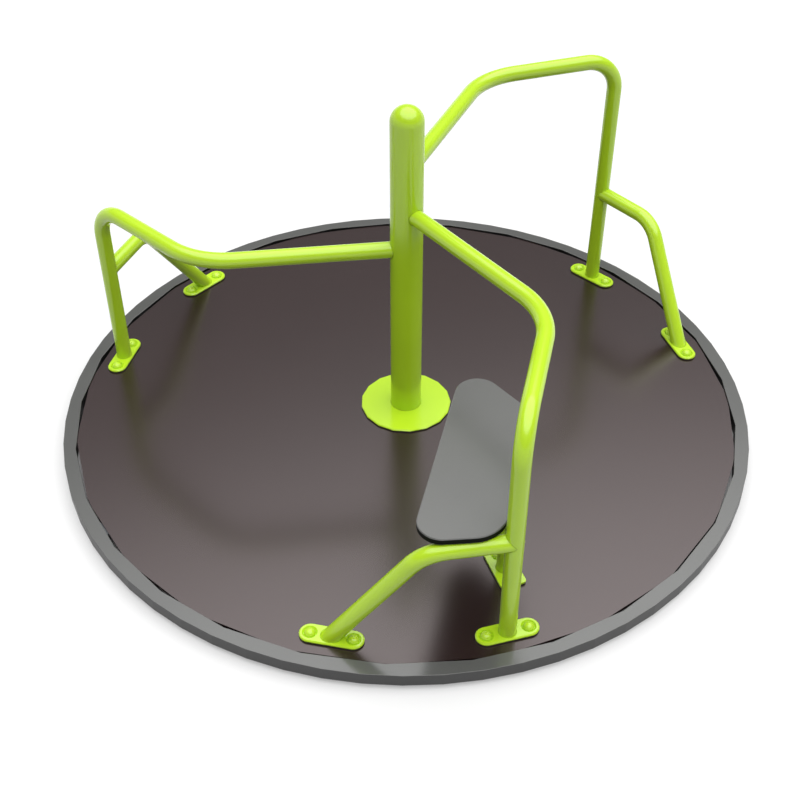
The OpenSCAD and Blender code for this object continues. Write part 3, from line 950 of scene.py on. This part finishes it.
class SPINNER_OT_rails(Build):
    """Builds the three bent hand rails with their legs"""
    bl_idname = "spinner.rails"
    bl_label = "Rails"

    def build(self, scene):
        tubes = scene.spinner_tubes
        start = Vector(tubes.elbow).normalized() * (POST_RADIUS - POST_OVERLAP)
        for arm in ARMS:
            path = [arm_point(arm, flat, rail_height(arm))
                for flat in (start, tubes.elbow, tubes.leg_foot)]
            path.append(arm_point(arm, tubes.leg_foot, PLATE_TOP - HIDDEN))
            bm = bmesh.new()
            bent_tube(bm, path, [tubes.elbow_bend, tubes.leg_bend], tubes.radius)
            piece("Rail_" + arm, bm, MATERIALS["lime"], "rail_" + arm)


class SPINNER_OT_branches(Build):
    """Builds the three branch tubes"""
    bl_idname = "spinner.branches"
    bl_label = "Branches"

    def build(self, scene):
        tubes = scene.spinner_tubes
        for arm in ARMS:
            start = arm_point(arm, tubes.leg_foot, branch_height())
            elbow = arm_point(arm, tubes.branch_elbow, branch_height())
            foot = arm_point(arm, tubes.branch_foot, PLATE_TOP)
            end = foot + (foot - elbow).normalized() * tubes.radius * 2
            bm = bmesh.new()
            bent_tube(bm, [start, elbow, end], [tubes.branch_bend], tubes.radius)
            bmesh.ops.bisect_plane(bm, geom=bm.verts[:] + bm.edges[:] + bm.faces[:],
                dist=MERGE, plane_co=(0, 0, PLATE_TOP - HIDDEN), plane_no=(0, 0, -1),
                clear_outer=True)
            close(bm, [e for e in bm.edges if e.is_boundary])
            piece("Branch_" + arm, bm, MATERIALS["lime"], "branch_" + arm)


class SPINNER_OT_seat_leg(Build):
    """Builds the bent tube that holds up the inner end of the seat"""
    bl_idname = "spinner.seat_leg"
    bl_label = "Seat leg"

    def build(self, scene):
        tubes = scene.spinner_tubes
        path = [arm_point("middle", flat, branch_height())
            for flat in (tubes.leg_foot, tubes.seat_leg)]
        path.append(arm_point("middle", tubes.seat_leg, PLATE_TOP - HIDDEN))
        bm = bmesh.new()
        bent_tube(bm, path, [tubes.seat_bend], tubes.radius)
        piece("Seat_leg", bm, MATERIALS["lime"], "seat_leg")


class SPINNER_OT_welds(Build):
    """Builds the weld beads round every tube end and round the post"""
    bl_idname = "spinner.welds"
    bl_label = "Welds"

    def build(self, scene):
        tubes = scene.spinner_tubes
        down = Vector((0, 0, -1))
        bm = bmesh.new()

        def on_plate(foot, lean):
            weld(bm, foot, lean, tubes.radius, tubes.weld, meets_level(lean))

        def on_leg(leg, way):
            weld(bm, leg, way, tubes.radius, tubes.weld * ROUND_WELD,
                meets_round(tubes.radius, way, 1))

        weld(bm, Vector((0, 0, FLANGE_TOP)), down, POST_RADIUS, tubes.weld,
            meets_level(down))
        for arm in ARMS:
            inwards = -arm_point(arm, tubes.elbow, 0).normalized()
            weld(bm, Vector((0, 0, rail_height(arm))), inwards, tubes.radius, tubes.weld,
                meets_round(POST_RADIUS, inwards, -1))
            on_plate(arm_point(arm, tubes.leg_foot, PLATE_TOP), down)
            leg = arm_point(arm, tubes.leg_foot, branch_height())
            elbow = arm_point(arm, tubes.branch_elbow, branch_height())
            foot = arm_point(arm, tubes.branch_foot, PLATE_TOP)
            on_plate(foot, (foot - elbow).normalized())
            on_leg(leg, (elbow - leg).normalized())
        leg = arm_point("middle", tubes.leg_foot, branch_height())
        top = arm_point("middle", tubes.seat_leg, branch_height())
        on_leg(leg, (top - leg).normalized())
        on_plate(arm_point("middle", tubes.seat_leg, PLATE_TOP), down)
        # The beads take the lime darkened with painted shade
        piece("Welds", bm, MATERIALS["weld"])


def dished_plate(bm, bolts, foot, spot):
    """Gives the outline in bm a thickness and a dish round each bolt, at its spot."""
    outline = bm.edges[:]
    dishes = [circle(bm, DISH_STEPS, foot.dish, Matrix.Translation((x, 0, PLATE_THICK)))
        for x in bolts]
    bmesh.ops.triangle_fill(bm, edges=outline + sum(dishes, []),
        use_beauty=True, use_dissolve=False, normal=(0, 0, 1))
    close(bm, grow(bm, outline, (0, 0, -PLATE_THICK)))
    for x, ring in zip(bolts, dishes):
        for share, depth in DISH_WALL:
            ring = grow(bm, ring, (0, 0, 0))
            centre = Vector((x, 0, PLATE_THICK - depth * foot.dish_depth))
            for v in verts_of(ring):
                side = Vector((v.co.x - x, v.co.y, 0)).normalized()
                v.co = centre + side * (foot.dish * share)
        close(bm, ring)
    bmesh.ops.recalc_face_normals(bm, faces=bm.faces)
    around_bolt = foot.dish * 1.05
    edge = [e for e in rim_edges(bm, PLATE_THICK)
        if all(math.hypot(v.co.x - x, v.co.y) > around_bolt
            for v in e.verts for x in bolts)]
    soften(bm, edge, foot.bevel)
    bmesh.ops.transform(bm, matrix=spot, verts=bm.verts)


class SPINNER_OT_foot_plates(Build):
    """Builds the six dished foot plates"""
    bl_idname = "spinner.foot_plates"
    bl_label = "Foot plates"

    def build(self, scene):
        foot = scene.spinner_feet
        tubes = scene.spinner_tubes
        reach = foot.length / 2 - foot.width / 2
        for kind, flat in (("leg", tubes.leg_foot), ("branch", tubes.branch_foot)):
            for arm in ARMS:
                bm = bmesh.new()
                arcs = []
                for end in (1, -1):
                    seed = bm.verts.new((end * reach, -end * foot.width / 2, PLATE_THICK))
                    arcs.append((seed, swing(bm, seed, (end * reach, 0, PLATE_THICK),
                        (0, 0, 1), math.pi, END_STEPS)))
                join(bm, arcs)
                dished_plate(bm, bolt_places(foot.bolt_gap), foot, foot_spot(arm, flat))
                piece(f"{kind.capitalize()}_plate_{arm}", bm, MATERIALS["lime"],
                    f"{kind}_plate_{arm}")


class SPINNER_OT_seat_leg_plate(Build):
    """Builds the oblong plate of the seat leg"""
    bl_idname = "spinner.seat_leg_plate"
    bl_label = "Seat leg plate"

    def build(self, scene):
        foot = scene.spinner_feet
        length, width = seat_plate_size()
        bm = bmesh.new()
        made = bmesh.ops.create_grid(bm, x_segments=1, y_segments=1, size=1.0)
        bmesh.ops.scale(bm, vec=(length / 2, width / 2, 1), verts=made["verts"])
        bmesh.ops.bevel(bm, geom=made["verts"], offset=foot.seat_corner,
            offset_type="OFFSET", segments=8, profile=0.5, affect="VERTICES",
            material=-1)
        bmesh.ops.delete(bm, geom=bm.faces[:], context="FACES_ONLY")
        bmesh.ops.translate(bm, verts=bm.verts, vec=(0, 0, PLATE_THICK))
        dished_plate(bm, bolt_places(length - SEAT_BOLT_INSET), foot, seat_spot())
        piece("Seat_leg_plate", bm, MATERIALS["lime"], "seat_leg_plate")


class SPINNER_OT_bolts(Build):
    """Builds the domed bolts of all the feet"""
    bl_idname = "spinner.bolts"
    bl_label = "Bolts"

    def build(self, scene):
        foot = scene.spinner_feet
        tubes = scene.spinner_tubes
        seat_gap = seat_plate_size()[0] - SEAT_BOLT_INSET
        spots = [foot_spot(arm, flat) @ Matrix.Translation((x, 0, 0))
            for arm in ARMS for flat in (tubes.leg_foot, tubes.branch_foot)
            for x in bolt_places(foot.bolt_gap)]
        spots += [seat_spot() @ Matrix.Translation((x, 0, 0))
            for x in bolt_places(seat_gap)]
        seat = PLATE_THICK - foot.dish_depth
        end = bottom_of("foot_bolts") - DECK_TOP
        rise = foot.head_height - HEAD_COLLAR
        dome = (foot.head ** 2 + rise ** 2) / (2 * rise)
        angle = math.degrees(math.asin(min(1.0, foot.head / dome)))
        profile = [(0.0, end), (SHANK - SHANK_CHAMFER, end), (SHANK, end + SHANK_CHAMFER),
            (SHANK, seat), (foot.head - HEAD_CHAMFER, seat),
            (foot.head, seat + HEAD_CHAMFER)]
        profile += arc(seat + foot.head_height - dome, dome, 90 - angle, 90, 10)
        bm = bmesh.new()
        for spot in spots:
            lathe(bm, profile, BOLT_STEPS, spot)
        piece("Foot_bolts", bm, MATERIALS["lime"], "foot_bolts")


class SPINNER_OT_seat_board(Build):
    """Builds the seat board with its grey faces and black core"""
    bl_idname = "spinner.seat_board"
    bl_label = "Seat board"

    def build(self, scene):
        seat = scene.spinner_seat
        corners = [Vector((*corner, 0)) for corner in
            (seat.inner_end, seat.inner_side, seat.outer_side, seat.outer_end)]
        radii = [seat.corner, seat.corner, seat.leg_corner, seat.corner]
        bm = bmesh.new()
        arcs = []
        for last, here, following, radius in zip(
                corners[-1:] + corners, corners, corners[1:] + corners[:1], radii):
            to_next = (following - here).normalized()
            to_last = (last - here).normalized()
            half = to_next.angle(to_last) / 2
            centre = here + (to_next + to_last).normalized() * radius / math.sin(half)
            seed = bm.verts.new(here + to_last * radius / math.tan(half))
            arcs.append((seed, swing(bm, seed, centre,
                to_next.cross(to_last).normalized(), math.pi - 2 * half, CORNER_STEPS)))
        join(bm, arcs)
        edges = bm.edges[:]
        bmesh.ops.transform(bm, verts=bm.verts,
            matrix=Matrix.Translation((0, 0, BOARD_LOW))
            @ Matrix.Rotation(math.radians(ARMS["middle"]), 4, "Z"))
        close(bm, edges)
        close(bm, grow(bm, edges, (0, 0, BOARD_TOP - BOARD_LOW)))
        bmesh.ops.recalc_face_normals(bm, faces=bm.faces)
        soften(bm, rim_edges(bm, BOARD_TOP) + rim_edges(bm, BOARD_LOW), seat.edge)
        piece("Seat_board", bm, MATERIALS["seat"], "seat_board")


class SPINNER_OT_paint_frame(Build):
    """Paints the CAD nodes that show as they are"""
    bl_idname = "spinner.paint_frame"
    bl_label = "Paint the frame"

    FINISHES = {"lime_powder_coat": "lime", "deck_sheet": "deck", "rim_paint": "rim",
        "frame_steel": "primer", "bearing_steel": "ground", "zinc_steel": "zinc",
        "black_rubber": "rubber", "seat_laminate": "seat"}

    def build(self, scene):
        for part in frame["record"]["subparts"]:
            node = frame["nodes"][part["node"]]
            material = MATERIALS[self.FINISHES[part["material_slot"]]]
            node.data.materials.clear()
            node.data.materials.append(material)


class SPINNER_OT_stage(Build):
    """Builds the floor, the sky and the camera"""
    bl_idname = "spinner.stage"
    bl_label = "Stage"

    def build(self, scene):
        stage = scene.spinner_stage
        self.floor(stage)
        self.sky(scene, stage)
        self.camera(scene, stage)
        scene.view_settings.view_transform = "Standard"

    def floor(self, stage):
        bm = bmesh.new()
        bmesh.ops.create_circle(bm, cap_ends=True, segments=96, radius=FLOOR_RADIUS)
        mesh = bpy.data.meshes.new("Floor")
        bm.to_mesh(mesh)
        bm.free()
        floor = bpy.data.objects.new("Floor", mesh)
        bpy.context.scene.collection.objects.link(floor)
        material = bpy.data.materials.new("Pale floor")
        material.use_nodes = True
        g = Graph(material.node_tree)
        seen = g.seen()
        shade = g.blend(seen, (stage.floor_lit,) * 3, (stage.floor_seen,) * 3)
        matt = g.node("ShaderNodeBsdfDiffuse", None, {"Color": shade}).out()
        open_floor = g.from_axis().smooth(*OPEN_FLOOR)
        glow = g.node("ShaderNodeEmission", None, {
            "Color": WHITE, "Strength": stage.floor_glow * seen * open_floor}).out()
        both = g.node("ShaderNodeAddShader", None, {0: matt, 1: glow}).out()
        g.node("ShaderNodeOutputMaterial", None, {"Surface": both})
        mesh.materials.append(material)

    def sky(self, scene, stage):
        world = bpy.data.worlds.new("Studio sky")
        scene.world = world
        world.use_nodes = True
        g = Graph(world.node_tree)
        height = g.node("ShaderNodeVectorMath", {"operation": "DOT_PRODUCT"}, {
            0: g.node("ShaderNodeTexCoord").out("Generated"),
            1: Vector(stage.sky_axis).normalized()}).out("Value")
        strength = stage.sky_low + (stage.sky_high - stage.sky_low) * height.smooth(
            stage.sky_start, stage.sky_full)
        soft = g.node("ShaderNodeBackground", None, {
            "Color": WHITE, "Strength": strength}).out()
        white = g.node("ShaderNodeBackground", None, {
            "Color": WHITE, "Strength": 1.0}).out()
        backdrop = 1 - height.smooth(stage.horizon, stage.horizon * BACKDROP_FADE)
        both = g.node("ShaderNodeMixShader", None, {
            0: g.seen() * backdrop, 1: soft, 2: white}).out()
        g.node("ShaderNodeOutputWorld", None, {"Surface": both})

    def camera(self, scene, stage):
        data = bpy.data.cameras.new("Camera")
        data.sensor_width = 36.0
        data.lens = stage.focal_length
        data.clip_start = 0.05
        data.clip_end = 100.0
        camera = bpy.data.objects.new("Camera", data)
        scene.collection.objects.link(camera)
        camera.location = stage.camera_at
        camera.rotation_euler = Vector(stage.camera_along).to_track_quat(
            "-Z", "Y").to_euler()
        scene.camera = camera


# Add-on


PIECES = (
    SPINNER_OT_paint_frame, SPINNER_OT_rim, SPINNER_OT_post, SPINNER_OT_flange,
    SPINNER_OT_rails, SPINNER_OT_branches, SPINNER_OT_seat_leg, SPINNER_OT_welds,
    SPINNER_OT_foot_plates, SPINNER_OT_seat_leg_plate, SPINNER_OT_bolts,
    SPINNER_OT_seat_board, SPINNER_OT_stage,
)

GROUPS = {
    "spinner_platform": SpinnerPlatform, "spinner_post": SpinnerPost,
    "spinner_tubes": SpinnerTubes, "spinner_feet": SpinnerFeet,
    "spinner_seat": SpinnerSeat, "spinner_finish": SpinnerFinish,
    "spinner_stage": SpinnerStage,
}


class SPINNER_PT_panel(bpy.types.Panel):
    """Sizes, finishes and pieces of the spinner"""
    bl_label = "Playground spinner"
    bl_idname = "SPINNER_PT_panel"
    bl_space_type = "VIEW_3D"
    bl_region_type = "UI"
    bl_category = "Spinner"

    def draw(self, context):
        for name, group in GROUPS.items():
            box = self.layout.box()
            for field in group.__annotations__:
                box.prop(getattr(context.scene, name), field)
        for operator in PIECES:
            self.layout.operator(operator.bl_idname)


def register():
    for group in GROUPS.values():
        bpy.utils.register_class(group)
    for name, group in GROUPS.items():
        setattr(bpy.types.Scene, name, PointerProperty(type=group))
    for operator in PIECES:
        bpy.utils.register_class(operator)
    bpy.utils.register_class(SPINNER_PT_panel)


def unregister():
    bpy.utils.unregister_class(SPINNER_PT_panel)
    for operator in reversed(PIECES):
        bpy.utils.unregister_class(operator)
    for name in GROUPS:
        delattr(bpy.types.Scene, name)
    for group in reversed(list(GROUPS.values())):
        bpy.utils.unregister_class(group)


def mix_paints(scene):
    """Makes each finish once, for all the pieces."""
    finish = scene.spinner_finish
    MATERIALS.update(
        lime=lime_powder_coat(finish), weld=lime_with_weld_shade(finish),
        deck=deck_coating(finish), rim=rim_paint(finish),
        seat=seat_laminate(finish, scene.spinner_seat), primer=steel_primer(finish),
        zinc=zinc_plate(), ground=ground_steel(), rubber=seal_rubber())


def main():
    register()
    mix_paints(bpy.context.scene)
    for operator in PIECES:
        group, name = operator.bl_idname.split(".")
        getattr(getattr(bpy.ops, group), name)()


if __name__ == "__main__":
    main()
